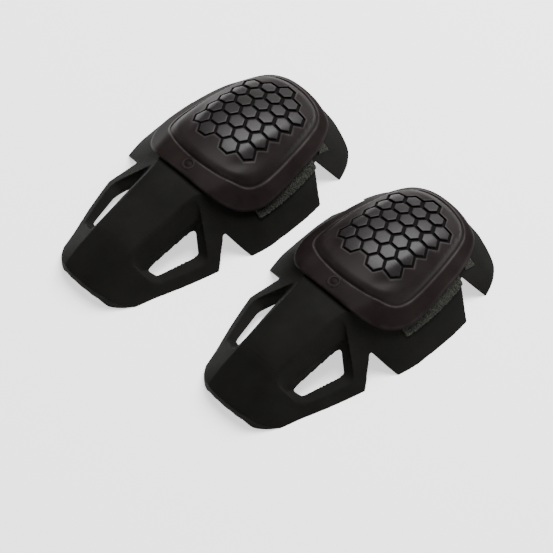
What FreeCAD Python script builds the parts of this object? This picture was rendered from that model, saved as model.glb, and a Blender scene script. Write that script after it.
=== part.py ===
import FreeCAD, Part
import math
import os

# Pair of moulded-foam knee guards, each with a rubber cap. Millimetres, +Z up.
# The guards stand side by side on their rims: shin ends towards -Y, thigh ends
# towards +Y. The left guard is at -X and the right one at +X, as seen from -Y.

# ---------------------------------------------------------------- driving sizes
GUARD_SPACING = 154.5          # centre line to centre line of the pair
LENGTH_SHIFT = 63.3            # moves the pair's middle onto the origin

FOAM_THICK = 9.5               # wall of the moulded foam
TIP_THICK = 7.0                # wall at the shin end
CAP_WALL = 3.6                 # wall of the cap's dome
FLANGE_THICK = 2.6             # wall of the cap's flange
LINER_THICK = 3.0
STRIP_THICK = 1.2

HEX_PITCH = 13.5               # tile to tile along the guard
HEX_FLAT = 11.4                # across the flats of one tile
HEX_GROOVE = 0.8               # gap round each tile
TILE_DEPTH = 2.0
TILE_PROUD = 0.3

FLEX_GAP = 0.8                 # slit at each flex line
CLEAR = 0.05                   # glue line between bonded layers
SEAT_GAP = 0.6                 # air between the flange and what lies under it
SEAT_SPREAD = 1.03             # how much wider the room for the flange is than the flange
SKIRT = -12.0                  # below the floor, trimmed away
FLOOR = 0.0

SHIN_HINGE = (-81.4, 38.0)     # y, z of the flex line in front of the cap
THIGH_HINGE = (15.8, 31.0)     # y, z of the flex line behind the knee
FLAP_HINGE = (55.4, 17.5)      # x, z of each side flap's flex line
SHIN_CLOSE, SHIN_OPEN = 12.0, 4.0      # degrees
THIGH_CLOSE, THIGH_OPEN = 10.0, 0.0    # degrees; the flange stops it opening

# Cross-sections along the guard. Each row is: y, crown z, ridge x, ridge z,
# side x and side z, where the side point lies on the steep outer facet.
FOAM_ROWS = [
    (-192.0, 9.0, 20.0, 7.0, 32.5, 0.0),
    (-172.0, 22.5, 20.0, 20.0, 38.3, 0.0),
    (-158.0, 31.0, 18.5, 28.4, 42.3, 0.0),
    (-150.0, 38.0, 18.0, 35.4, 44.7, 0.0),
    (-141.0, 41.4, 18.5, 38.7, 47.9, 0.0),
    (-126.0, 44.4, 19.5, 41.7, 53.0, 0.0),
    (-108.0, 47.5, 20.0, 44.8, 58.3, 0.0),
    (-94.0, 49.0, 20.0, 46.4, 62.0, 0.0),
    (-82.0, 49.0, 22.0, 46.4, 65.0, 0.0),
    (-70.0, 47.4, 31.0, 43.6, 68.6, 0.0),
    (-50.0, 47.4, 40.0, 40.6, 71.8, 0.0),
    (-20.0, 46.4, 42.0, 38.6, 72.2, 0.0),
    (5.0, 43.4, 41.0, 34.8, 70.2, 0.0),
    (25.0, 38.0, 38.0, 29.5, 65.6, 0.0),
    (42.0, 31.4, 33.0, 23.0, 58.6, 0.0),
    (54.0, 23.6, 29.0, 16.0, 48.6, 0.0),
    (64.0, 13.0, 26.0, 8.0, 40.0, 0.0),
]
CAP_ROWS = [
    (-88.0, 50.8, 28.0, 47.6, 56.0, 17.0),
    (-80.0, 52.2, 29.0, 49.0, 56.0, 20.0),
    (-71.0, 53.2, 31.0, 49.0, 56.0, 24.0),
    (-40.0, 53.8, 36.0, 46.4, 56.0, 29.0),
    (-11.0, 52.0, 36.0, 43.8, 56.0, 27.4),
    (14.0, 48.0, 34.0, 39.6, 56.0, 23.0),
    (28.0, 45.0, 31.0, 37.0, 56.0, 17.5),
    (44.5, 40.4, 27.0, 33.4, 56.0, 13.0),
    (60.0, 30.0, 22.0, 25.0, 56.0, 5.0),
]
DOME_ROWS = [
    (-70.0, 50.0, 20.0, 46.0, 44.0, 30.0),
    (-62.0, 54.4, 20.0, 51.6, 44.0, 35.0),
    (-50.0, 57.2, 21.0, 54.4, 44.0, 38.0),
    (-38.0, 59.0, 23.0, 56.0, 44.0, 39.6),
    (-22.0, 59.6, 25.0, 56.6, 44.0, 40.0),
    (-6.0, 58.2, 26.0, 54.6, 44.0, 39.0),
    (7.0, 55.4, 26.0, 51.8, 44.0, 37.6),
    (20.0, 51.4, 26.0, 47.8, 44.0, 35.6),
    (33.0, 46.4, 25.0, 42.6, 44.0, 32.0),
    (50.0, 38.0, 20.0, 34.6, 44.0, 26.0),
]

# Plan outlines, half of each, from the front centre round to the rear centre.
GUARD_PLAN = [
    (0.0, -185.6), (14.0, -184.6), (25.0, -181.0), (33.0, -175.0), (39.0, -167.0),
    (90.0, -150.0), (90.0, 18.0), (65.8, 26.5), (60.9, 38.0), (55.4, 46.5),
    (48.0, 53.4), (34.5, 57.4), (15.0, 58.8), (0.0, 59.0),
]
FLANGE_PLAN = [
    (0.0, -80.4), (18.0, -80.0), (30.0, -78.0), (41.0, -71.6), (49.0, -63.4), (54.6, -52.0),
    (56.4, -40.0), (55.4, -24.0), (53.2, -10.0), (51.0, 4.0), (48.6, 15.0), (44.2, 28.0),
    (37.0, 42.0), (29.0, 48.6), (15.0, 51.6), (0.0, 52.2),
]
DOME_PLAN = [
    (0.0, -64.0), (18.0, -62.0), (31.0, -57.4), (40.0, -50.0), (43.6, -40.0),
    (43.6, -26.0), (41.6, -8.0), (38.6, 8.0), (34.4, 24.0), (29.6, 36.0), (22.0, 42.6),
    (10.0, 45.4), (0.0, 45.8),
]
NECK_PLAN = [(0.0, -60.0), (24.0, -58.0), (33.0, -48.0), (33.0, 4.0), (28.0, 12.0), (0.0, 13.0)]

# One side window: its four corners on the outer face and on the inner face.
WINDOW_OUTER = [(32.2, -87.0, 34.7), (52.3, -103.3, 7.5), (41.2, -141.8, 7.5), (27.0, -152.0, 21.6)]
WINDOW_INNER = [(30.0, -94.2, 21.2), (41.2, -101.5, 5.5), (33.0, -137.7, 5.9), (27.0, -141.8, 11.5)]
WINDOW_OVERRUN = 0.6           # how far the cutter runs past each face, as a share of the wall

# V-notches between the plate, the flaps and the wing, as y, z corners.
FRONT_NOTCH = [(-100.4, -2.0), (-83.0, 17.6), (-80.4, 18.4), (-78.6, 17.0), (-70.6, -2.0)]
REAR_NOTCH = [(-0.8, -2.0), (5.6, 9.0), (13.8, 20.6), (15.6, 21.0), (17.0, 19.6), (28.2, -2.0)]

BOSS_PLACE = (0.0, -71.4)
BOSS_RADIUS = 4.6
BOSS_PROUD = 0.5

# Nodes made for the +X side and mirrored to the other; inner faces the other guard.
SIDE_NODES = ("flap", "hook_strip")

# Hexagon rows: side offset in rows, first tile in pitches, how many tiles.
HEX_ROWS = [(-2, -2.5, 5), (-1, -3.0, 6), (0, -2.5, 6), (1, -3.0, 6), (2, -2.5, 5)]
DOME_TILT = 12.7               # degrees, thigh side lower


# ---------------------------------------------------------------- small helpers
def vec(x, y, z):
    return FreeCAD.Vector(x, y, z)


def offset_profile(points, lift):
    """Moves an open x, z profile outwards by lift, with mitred corners."""
    normals = []
    for (x0, z0), (x1, z1) in zip(points, points[1:]):
        run = math.hypot(x1 - x0, z1 - z0)
        normals.append(((z0 - z1) / run, (x1 - x0) / run))
    moved = [(0.0, points[0][1] + lift)]
    for (x, z), (ax, az), (bx, bz) in zip(points[1:-1], normals, normals[1:]):
        share = lift / (1.0 + ax * bx + az * bz)
        moved.append((x + (ax + bx) * share, z + (az + bz) * share))
    x, z = points[-1]
    moved.append((x + normals[-1][0] * lift, z + normals[-1][1] * lift))
    return moved


def section_wire(row, lift):
    """Closed arch section at one station, offset outwards by lift."""
    y, crown, ridge_x, ridge_z, side_x, side_z = row
    mid = (0.55 * ridge_x, crown - 0.3 * (crown - ridge_z))
    profile = offset_profile([(0.0, crown), mid, (ridge_x, ridge_z), (side_x, side_z)], lift)
    (x0, z0), (x1, z1) = profile[-2:]
    foot_x = x1 + (x1 - x0) * (SKIRT - z1) / (z1 - z0)
    half = profile[:-1] + [(foot_x, SKIRT)]
    loop = [vec(x, y, z) for x, z in half]
    loop += [vec(-x, y, z) for x, z in reversed(half[1:])]
    return Part.makePolygon(loop + [loop[0]])


def arch(rows, lift):
    """Solid under an arched surface. lift is a number or a function of y."""
    if callable(lift):
        wires = [section_wire(row, lift(row[0])) for row in rows]
    else:
        wires = [section_wire(row, lift) for row in rows]
    return Part.makeLoft(wires, True, True)


def prism(half_plan, z_low=-30.0, z_high=90.0):
    """Upright solid over a plan outline that is the same on both sides."""
    loop = [vec(x, y, z_low) for x, y in half_plan]
    loop += [vec(-x, y, z_low) for x, y in reversed(half_plan) if x > 0.0]
    face = Part.Face(Part.makePolygon(loop + [loop[0]]))
    return face.extrude(vec(0.0, 0.0, z_high - z_low))


def side_prism(points, x_low=-95.0, x_high=95.0):
    """Solid across the guard with the given y, z outline."""
    loop = [vec(x_low, y, z) for y, z in points]
    face = Part.Face(Part.makePolygon(loop + [loop[0]]))
    return face.extrude(vec(x_high - x_low, 0.0, 0.0))


def end_prism(points, y_low=-200.0, y_high=80.0):
    """Solid along the guard with the given x, z outline."""
    loop = [vec(x, y_low, z) for x, z in points]
    face = Part.Face(Part.makePolygon(loop + [loop[0]]))
    return face.extrude(vec(0.0, y_high - y_low, 0.0))


def box(x0, y0, z0, x1, y1, z1):
    return Part.makeBox(x1 - x0, y1 - y0, z1 - z0, vec(x0, y0, z0))


def mirrored(shape):
    return shape.mirror(vec(0.0, 0.0, 0.0), vec(1.0, 0.0, 0.0))


def faceted_plug(low, high):
    """Closed solid between two four-sided loops, with three-cornered faces."""
    corners = [(low[0], low[1], low[2]), (low[0], low[2], low[3])]
    corners += [(high[0], high[1], high[2]), (high[0], high[2], high[3])]
    for k in range(4):
        after = (k + 1) % 4
        corners.append((low[k], low[after], high[after]))
        corners.append((low[k], high[after], high[k]))
    faces = [Part.Face(Part.makePolygon([a, b, c, a])) for a, b, c in corners]
    solid = Part.makeSolid(Part.makeShell(faces))
    if solid.Volume < 0.0:
        solid.reverse()
    return solid


def main_solid(shape):
    """The largest solid of a cut, without stray chips."""
    return max(shape.Solids, key=lambda solid: solid.Volume)


# ---------------------------------------------------------------- foam moulding
def foam_inner_lift(y):
    """Depth of the foam's inner face below its outer face at station y."""
    share = min(max((y + 192.0) / 42.0, 0.0), 1.0)
    return -(TIP_THICK + (FOAM_THICK - TIP_THICK) * share)


def window_cutter():
    """Flared cutter for the window on the +X side."""
    outer = [vec(*p) for p in WINDOW_OUTER]
    inner = [vec(*p) for p in WINDOW_INNER]
    far_out = [o + (o - i) * WINDOW_OVERRUN for o, i in zip(outer, inner)]
    far_in = [i + (i - o) * WINDOW_OVERRUN for o, i in zip(outer, inner)]
    return faceted_plug(far_in, far_out)


def flange_room():
    """The room that the cap's flange takes up, with air under it and round it."""
    plan = [(x * SEAT_SPREAD, y * SEAT_SPREAD) for x, y in FLANGE_PLAN]
    return prism(plan, FLOOR, 90.0).cut(arch(CAP_ROWS, -FLANGE_THICK - SEAT_GAP))


def whole_foam():
    """The foam as it leaves the mould, before it is parted at its flex lines."""
    shell = arch(FOAM_ROWS, 0.0).cut(arch(FOAM_ROWS, foam_inner_lift)).cut(flange_room())
    shell = shell.common(prism(GUARD_PLAN, FLOOR, 90.0))
    window = window_cutter()
    for cutter in (side_prism(FRONT_NOTCH), side_prism(REAR_NOTCH), window, mirrored(window)):
        shell = shell.cut(cutter)
    return shell


def wedge(distance, degrees):
    return distance * math.tan(math.radians(degrees))


def shin_region():
    y, z = SHIN_HINGE
    rear = y - FLEX_GAP / 2
    return side_prism([
        (-200.0, -5.0), (rear - wedge(z + 5.0, SHIN_CLOSE), -5.0), (rear, z),
        (rear - wedge(32.0, SHIN_OPEN), z + 32.0), (-200.0, z + 32.0),
    ])


def thigh_region():
    y, z = THIGH_HINGE
    front = y + FLEX_GAP / 2
    return side_prism([
        (90.0, -5.0), (front + wedge(z + 5.0, THIGH_CLOSE), -5.0), (front, z),
        (front + wedge(32.0, THIGH_OPEN), z + 32.0), (90.0, z + 32.0),
    ])


def middle_region():
    return box(-95.0, SHIN_HINGE[0] + FLEX_GAP / 2, -5.0, 95.0, THIGH_HINGE[0] - FLEX_GAP / 2, 90.0)


def flap_region(gap):
    """Everything outside and below one side's flex line, set back by gap."""
    x, z = FLAP_HINGE
    across, down = 0.8, 0.6
    x, z = x + down * gap, z - across * gap
    return end_prism([
        (x - across * 30.0, z - down * 30.0), (x + across * 30.0, z + down * 30.0),
        (120.0, z + down * 30.0), (120.0, -40.0), (x - across * 30.0, -40.0),
    ])


def foam_pieces():
    """The foam's five zones, parted where the moulding bends."""
    whole = whole_foam()
    middle = whole.common(middle_region())
    outboard = flap_region(0.0)
    cup = middle.cut(outboard).cut(mirrored(outboard))
    flap = main_solid(middle.common(flap_region(1.4)))
    return {
        "shin_plate": main_solid(whole.common(shin_region())),
        "knee_cup": main_solid(cup),
        "flap": flap,
        "thigh_wing": main_solid(whole.common(thigh_region())),
    }


# ---------------------------------------------------------------- cap and inside
def hex_centres():
    """Tile centres on the dome, in plan, each with its own y scale."""
    tilt = math.cos(math.radians(DOME_TILT))
    for side, first, count in HEX_ROWS:
        for k in range(count):
            yield side * HEX_PITCH * math.sqrt(3.0) / 2.0, (first + k) * HEX_PITCH * tilt


def hex_prisms(across_flats):
    """Upright six-sided bars at every tile, flats facing fore and aft."""
    radius = across_flats / math.sqrt(3.0)
    shrink = math.cos(math.radians(DOME_TILT))
    bars = []
    for cx, cy in hex_centres():
        loop = []
        for k in range(6):
            angle = math.radians(60.0 * k)
            loop.append(vec(cx + radius * math.cos(angle), cy + radius * shrink * math.sin(angle), 20.0))
        face = Part.Face(Part.makePolygon(loop + [loop[0]]))
        bars.append(face.extrude(vec(0.0, 0.0, 60.0)))
    return bars


def cap_shell():
    """Dome, groove wall, flange and the plain round boss on the front flange."""
    flange = arch(CAP_ROWS, 0.0).cut(arch(CAP_ROWS, -FLANGE_THICK)).common(prism(FLANGE_PLAN))
    dome = arch(DOME_ROWS, 0.0).common(prism(DOME_PLAN, 20.0, 90.0))
    dome = dome.cut(arch(CAP_ROWS, -FLANGE_THICK))
    cavity = dome_cavity()
    shell = flange.fuse(dome).cut(cavity)
    pockets = Part.makeCompound(hex_prisms(HEX_FLAT + 2.0 * HEX_GROOVE))
    pockets = pockets.common(prism(DOME_PLAN)).cut(arch(DOME_ROWS, -TILE_DEPTH))
    shell = shell.cut(pockets)
    x, y = BOSS_PLACE
    post = Part.makeCylinder(BOSS_RADIUS, 30.0, vec(x, y, 40.0))
    boss = post.common(arch(CAP_ROWS, BOSS_PROUD).cut(arch(CAP_ROWS, -0.5)))
    return main_solid(shell.fuse(boss))


def dome_cavity():
    """Hollow of the dome, a wall's thickness inside it all round."""
    inner_plan = [(max(x - CAP_WALL, 0.0), y * 0.93 - 0.6) for x, y in DOME_PLAN[:-1]]
    inner_plan = [(0.0, inner_plan[0][1])] + inner_plan[2:] + [(0.0, DOME_PLAN[-1][1] - CAP_WALL)]
    return arch(DOME_ROWS, -CAP_WALL).common(prism(inner_plan, 20.0, 90.0))


def grip_tiles():
    """Separate six-sided tiles that stand in the dome's pockets."""
    layer = arch(DOME_ROWS, TILE_PROUD).cut(arch(DOME_ROWS, -TILE_DEPTH + CLEAR))
    plan = prism(DOME_PLAN)
    tiles = [main_solid(bar.common(layer).common(plan)) for bar in hex_prisms(HEX_FLAT)]
    return Part.makeCompound(tiles)


def dome_core():
    """Shock foam that fills the dome, resting on the neck."""
    cavity = dome_cavity().common(arch(DOME_ROWS, -CAP_WALL - CLEAR))
    return main_solid(cavity.cut(arch(CAP_ROWS, -FLANGE_THICK + CLEAR)))


def cap_neck():
    """Riser between the foam cup and the cap, inside the flange."""
    riser = arch(CAP_ROWS, -FLANGE_THICK).cut(arch(FOAM_ROWS, CLEAR))
    return main_solid(riser.common(prism(NECK_PLAN)))


def knee_liner():
    """Soft layer bonded to the inside of the knee cup."""
    layer = arch(FOAM_ROWS, -FOAM_THICK - CLEAR).cut(arch(FOAM_ROWS, -FOAM_THICK - LINER_THICK))
    return main_solid(layer.common(box(-60.0, -74.0, 24.0, 60.0, 9.0, 60.0)))


def strip_layer():
    return arch(FOAM_ROWS, STRIP_THICK + CLEAR).cut(arch(FOAM_ROWS, CLEAR)).cut(flange_room())


def side_strip():
    """Hook strip on the foam under the flange, +X side."""
    return main_solid(strip_layer().common(box(46.0, -52.0, 20.4, 62.0, 13.0, 27.6)))


def thigh_strip():
    """Hook strip across the wing under the cap's tail."""
    return main_solid(strip_layer().common(box(-47.0, 22.0, 10.0, 47.0, 33.0, 60.0)))


# ---------------------------------------------------------------- the pair
def guard_nodes():
    nodes = foam_pieces()
    nodes["cap_shell"] = cap_shell()
    nodes["grip_tiles"] = grip_tiles()
    nodes["cap_neck"] = cap_neck()
    nodes["dome_core"] = dome_core()
    nodes["knee_liner"] = knee_liner()
    nodes["hook_strip"] = side_strip()
    nodes["thigh_strip"] = thigh_strip()
    return nodes


def place(guard, name, shape, x):
    """Writes one node of one guard at its place in the pair."""
    placed = shape.copy()
    placed.translate(vec(x, LENGTH_SHIFT, 0.0))
    placed.exportStep(f"parts/{guard}_{name}.step")
    print(guard, name, placed.isValid(), len(placed.Solids), round(placed.Volume / 1000.0, 2))


def main():
    os.makedirs("parts", exist_ok=True)
    nodes = guard_nodes()
    for guard, x in (("left", -GUARD_SPACING / 2), ("right", GUARD_SPACING / 2)):
        for name, shape in nodes.items():
            if name in SIDE_NODES:
                near, far = ("inner", "outer") if guard == "left" else ("outer", "inner")
                place(guard, f"{near}_{name}", shape, x)
                place(guard, f"{far}_{name}", mirrored(shape), x)
            else:
                place(guard, name, shape, x)


main()
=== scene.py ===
"""Pair of moulded-foam knee guards with rubber caps, dressed for a studio picture."""
import logging
import math
from dataclasses import dataclass, field
from enum import Enum
from typing import Callable, Iterator, Sequence

import bmesh
import bpy
import numpy as np
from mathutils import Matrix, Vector
from mathutils.geometry import delaunay_2d_cdt
from mathutils.kdtree import KDTree


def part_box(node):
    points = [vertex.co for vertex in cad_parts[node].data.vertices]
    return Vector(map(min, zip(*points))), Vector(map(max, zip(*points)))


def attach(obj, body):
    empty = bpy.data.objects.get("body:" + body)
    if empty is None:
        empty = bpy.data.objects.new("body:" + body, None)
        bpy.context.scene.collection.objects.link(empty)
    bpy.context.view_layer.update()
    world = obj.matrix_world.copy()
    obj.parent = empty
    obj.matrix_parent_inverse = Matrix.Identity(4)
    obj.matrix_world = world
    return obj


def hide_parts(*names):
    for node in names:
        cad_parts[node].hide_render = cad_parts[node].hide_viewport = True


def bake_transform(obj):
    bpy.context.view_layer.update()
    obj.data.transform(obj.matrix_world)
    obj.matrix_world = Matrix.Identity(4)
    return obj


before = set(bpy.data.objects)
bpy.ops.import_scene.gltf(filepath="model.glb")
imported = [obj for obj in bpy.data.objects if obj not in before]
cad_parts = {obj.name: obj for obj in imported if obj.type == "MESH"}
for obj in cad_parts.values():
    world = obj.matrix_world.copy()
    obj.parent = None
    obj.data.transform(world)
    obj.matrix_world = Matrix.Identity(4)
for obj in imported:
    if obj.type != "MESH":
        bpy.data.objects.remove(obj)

LOG = logging.getLogger("knee_guards")
MM = 0.001
# Layer that carries painted highlight along the cap's edges.
PAINTED_HIGHLIGHT = "painted_highlight"
MATTE = "matte"
Point = tuple[float, float]
Triple = tuple[float, float, float]
Rows = Sequence[tuple[float, ...]]


# ------------------------------------------------------------------ finishes
def set_inputs(node: bpy.types.Node, **values: object) -> None:
    """Sets plain values on a node's inputs, with _ for each space."""
    for name, value in values.items():
        node.inputs[name.replace("_", " ")].default_value = value


class Shader:
    """A node material under construction, with short calls for its nodes."""

    def __init__(self, name: str) -> None:
        """Starts an empty material that already has its surface shader.

        Args:
            name: Name of the material.
        """
        self.material = bpy.data.materials.new(name)
        self.material.use_nodes = True
        self.tree = self.material.node_tree
        self.surface = self.tree.nodes["Principled BSDF"]
        self.place = self.node("TexCoord").outputs["Object"]

    def node(self, kind: str, **values: object) -> bpy.types.Node:
        """Adds a node with plain values on its inputs."""
        node = self.tree.nodes.new(f"ShaderNode{kind}")
        set_inputs(node, **values)
        return node

    def set(self, **values: object) -> None:
        """Sets plain values on the surface shader."""
        set_inputs(self.surface, **values)

    def link(self, source: bpy.types.NodeSocket, target: bpy.types.NodeSocket) -> None:
        """Joins two sockets."""
        self.tree.links.new(source, target)

    def colour(self, source: bpy.types.NodeSocket) -> None:
        """Feeds the surface's colour."""
        self.link(source, self.surface.inputs["Base Color"])

    def rough(self, pattern: bpy.types.NodeSocket, low: float, high: float) -> None:
        """Lets a pattern set the surface's roughness between low and high."""
        self.link(self.spread(pattern, low, high), self.surface.inputs["Roughness"])

    def noise(self, scale: float, detail: float = 4.0, rough: float = 0.55,
              squeeze: Triple | None = None) -> bpy.types.NodeSocket:
        """Adds a noise pattern in the object's own metres.

        Args:
            scale: Cycles in a metre.
            detail: Octaves of finer noise.
            rough: Weight of the finer octaves.
            squeeze: Scale along each axis, for a grain with a direction.

        Returns:
            The pattern's value, from 0 to 1.
        """
        node = self.node("TexNoise", Scale=scale, Detail=detail, Roughness=rough)
        self.link(self.stretched(squeeze), node.inputs["Vector"])
        return node.outputs["Fac"]

    def stretched(self, squeeze: Triple | None) -> bpy.types.NodeSocket:
        """Gives the object's coordinates, scaled along each axis if asked."""
        if squeeze is None:
            return self.place
        node = self.node("Mapping", Scale=squeeze)
        self.link(self.place, node.inputs["Vector"])
        return node.outputs["Vector"]

    def cells(self, scale: float) -> bpy.types.NodeSocket:
        """Adds a cellular pattern and gives its distance value."""
        node = self.node("TexVoronoi", Scale=scale)
        self.link(self.place, node.inputs["Vector"])
        return node.outputs["Distance"]

    def ramp(self, value: bpy.types.NodeSocket,
             stops: Sequence[tuple[float, Triple]]) -> bpy.types.NodeSocket:
        """Maps a value to a colour through the given stops."""
        node = self.node("ValToRGB")
        elements = node.color_ramp.elements
        while len(elements) < len(stops):
            elements.new(0.5)
        for element, (at, colour) in zip(elements, stops):
            element.position = at
            element.color = (*colour, 1.0)
        self.link(value, node.inputs["Fac"])
        return node.outputs["Color"]

    def spread(self, value: bpy.types.NodeSocket, low: float, high: float) -> bpy.types.NodeSocket:
        """Maps a pattern from 0..1 to low..high."""
        node = self.node("MapRange", To_Min=low, To_Max=high)
        self.link(value, node.inputs["Value"])
        return node.outputs["Result"]

    def painted(self, layer: str) -> bpy.types.NodeSocket:
        """Gives a value from 0 to 1 that the mesh itself carries at each point."""
        node = self.node("Attribute")
        node.attribute_name = layer
        return node.outputs["Fac"]

    def mix(self, share: bpy.types.NodeSocket, low: bpy.types.NodeSocket,
            high: bpy.types.NodeSocket) -> bpy.types.NodeSocket:
        """Mixes two colours by a pattern."""
        node = self.node("Mix")
        node.data_type = "RGBA"
        sockets = {socket.identifier: socket for socket in (*node.inputs, *node.outputs)}
        self.link(share, sockets["Factor_Float"])
        self.link(low, sockets["A_Color"])
        self.link(high, sockets["B_Color"])
        return sockets["Result_Color"]

    def bump(self, layers: Sequence[tuple[bpy.types.NodeSocket, float]]) -> None:
        """Stacks height patterns into the surface's normal.

        Args:
            layers: Each pattern with its relief in millimetres.
        """
        normal = None
        for value, relief in layers:
            node = self.node("Bump", Distance=relief * MM, Strength=1.0)
            self.link(value, node.inputs["Height"])
            if normal is not None:
                self.link(normal, node.inputs["Normal"])
            normal = node.outputs["Normal"]
        self.link(normal, self.surface.inputs["Normal"])


@dataclass(frozen=True)
class FoamFinish:
    """Closed-cell moulded foam with a fine pebbled skin."""

    name: str = "moulded_foam"
    dark: Triple = (0.0068, 0.0067, 0.0060)
    light: Triple = (0.0098, 0.0096, 0.0086)
    rubbed: Triple = (0.016, 0.0158, 0.0143)

    def material(self) -> bpy.types.Material:
        """Builds the foam's material."""
        shader = Shader(self.name)
        cloud = shader.noise(38.0, 3.0)
        pores = shader.noise(2600.0, 2.0, 0.6)
        tone = shader.ramp(cloud, [(0.3, self.dark), (0.7, self.light)])
        # The tone lightens towards a painted highlight colour where a mesh carries the highlight layer.
        highlit = shader.ramp(cloud, [(0.3, self.light), (0.7, self.rubbed)])
        shader.colour(shader.mix(shader.painted(PAINTED_HIGHLIGHT), tone, highlit))
        shader.rough(pores, 0.55, 0.78)
        shader.set(Specular_IOR_Level=0.02)
        shader.bump([(shader.noise(420.0, 3.0), 0.06), (pores, 0.035)])
        return shader.material


@dataclass(frozen=True)
class RubberFinish:
    """Satin cap rubber, a little red-brown, with painted highlights along its edges."""

    name: str = "satin_rubber"
    dark: Triple = (0.0084, 0.0060, 0.0059)
    light: Triple = (0.0124, 0.0092, 0.0091)
    rubbed: Triple = (0.062, 0.053, 0.052)

    def material(self) -> bpy.types.Material:
        """Builds the cap's material."""
        shader = Shader(self.name)
        cloud = shader.noise(55.0, 4.0)
        grain = shader.noise(3200.0, 2.0, 0.6)
        tone = shader.ramp(cloud, [(0.3, self.dark), (0.7, self.light)])
        # Painted highlight: a bright tone that shows where the shell carries the highlight layer.
        highlit = shader.ramp(cloud, [(0.3, self.light), (0.8, self.rubbed)])
        shader.colour(shader.mix(shader.painted(PAINTED_HIGHLIGHT), tone, highlit))
        shader.rough(cloud, 0.42, 0.56)
        shader.link(shader.spread(shader.painted(MATTE), 0.08, 0.018),
                    shader.surface.inputs["Specular IOR Level"])
        shader.bump([(shader.noise(260.0, 3.0), 0.04), (grain, 0.02)])
        return shader.material


@dataclass(frozen=True)
class ShadedGrooveFinish:
    """Darker copy of the cap rubber, painted shade down in the grooves round the tiles, unpolished and
    rougher.
    """

    name: str = "groove_painted_shade"
    dark: Triple = (0.0018, 0.0013, 0.0013)
    light: Triple = (0.0038, 0.0030, 0.0030)

    def material(self) -> bpy.types.Material:
        """Builds the grooves' material."""
        shader = Shader(self.name)
        dust = shader.noise(700.0, 4.0, 0.6)
        shader.colour(shader.ramp(dust, [(0.35, self.dark), (0.75, self.light)]))
        shader.rough(dust, 0.7, 0.9)
        shader.set(Specular_IOR_Level=0.08)
        shader.bump([(dust, 0.04)])
        return shader.material


@dataclass(frozen=True)
class TileFinish:
    """Fine-grained grip tile, greyer than the cap round it."""

    name: str = "grip_tile"
    dark: Triple = (0.0056, 0.0042, 0.0041)
    light: Triple = (0.0112, 0.0094, 0.0092)

    def material(self) -> bpy.types.Material:
        """Builds the tiles' material."""
        shader = Shader(self.name)
        grain = shader.noise(1500.0, 3.0, 0.6, (1.0, 0.35, 1.0))
        stipple = shader.noise(5200.0, 2.0, 0.6)
        shader.colour(shader.ramp(grain, [(0.32, self.dark), (0.72, self.light)]))
        shader.rough(stipple, 0.36, 0.52)
        shader.set(Specular_IOR_Level=0.25)
        shader.bump([(grain, 0.05), (stipple, 0.03)])
        return shader.material


@dataclass(frozen=True)
class PileFinish:
    """Hook-and-loop pile, grey and woolly."""

    name: str = "hook_pile"
    dark: Triple = (0.0035, 0.0036, 0.0031)
    light: Triple = (0.052, 0.053, 0.045)

    def material(self) -> bpy.types.Material:
        """Builds the pile's material."""
        shader = Shader(self.name)
        tufts = shader.noise(1300.0, 4.0, 0.7)
        loops = shader.cells(1900.0)
        shader.colour(shader.ramp(tufts, [(0.36, self.dark), (0.66, self.light)]))
        shader.rough(tufts, 0.8, 0.98)
        shader.set(Specular_IOR_Level=0.1, Sheen_Weight=0.05, Sheen_Roughness=0.4)
        shader.bump([(tufts, 0.5), (loops, 0.3)])
        return shader.material


@dataclass(frozen=True)
class KnitFinish:
    """Brushed knit of the knee liner."""

    name: str = "liner_knit"
    dark: Triple = (0.009, 0.009, 0.0095)
    light: Triple = (0.020, 0.020, 0.0205)

    def material(self) -> bpy.types.Material:
        """Builds the knit's material."""
        shader = Shader(self.name)
        wales = shader.noise(900.0, 2.0, 0.5, (1.0, 0.25, 1.0))
        courses = shader.cells(1100.0)
        shader.colour(shader.ramp(wales, [(0.35, self.dark), (0.65, self.light)]))
        shader.rough(courses, 0.75, 0.95)
        shader.set(Specular_IOR_Level=0.2, Sheen_Weight=0.3, Sheen_Roughness=0.5)
        shader.bump([(courses, 0.25), (wales, 0.15)])
        return shader.material


@dataclass(frozen=True)
class CoreFinish:
    """Open-cell shock foam inside the dome."""

    name: str = "shock_foam"
    dark: Triple = (0.05, 0.05, 0.048)
    light: Triple = (0.09, 0.09, 0.086)

    def material(self) -> bpy.types.Material:
        """Builds the core foam's material."""
        shader = Shader(self.name)
        pores = shader.cells(900.0)
        shader.colour(shader.ramp(pores, [(0.1, self.dark), (0.6, self.light)]))
        shader.rough(pores, 0.8, 0.95)
        shader.bump([(pores, 0.3)])
        return shader.material


class Finish(Enum):
    """The finishes of the guard's pieces, each with a slot name."""

    FOAM = ("foam", FoamFinish())
    CAP = ("cap_rubber", RubberFinish())
    TILE = ("tile", TileFinish())
    # The groove finish is a darker copy of the cap rubber, painted shade, and shares its slot.
    GROOVE_SHADE = ("cap_rubber", ShadedGrooveFinish())
    PILE = ("hook", PileFinish())
    LINER = ("liner", KnitFinish())
    CORE = ("core_foam", CoreFinish())

    @property
    def material(self) -> bpy.types.Material:
        """The finish's material, made when it is first asked for."""
        recipe = self.value[1]
        return bpy.data.materials.get(recipe.name) or recipe.material()


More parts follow.
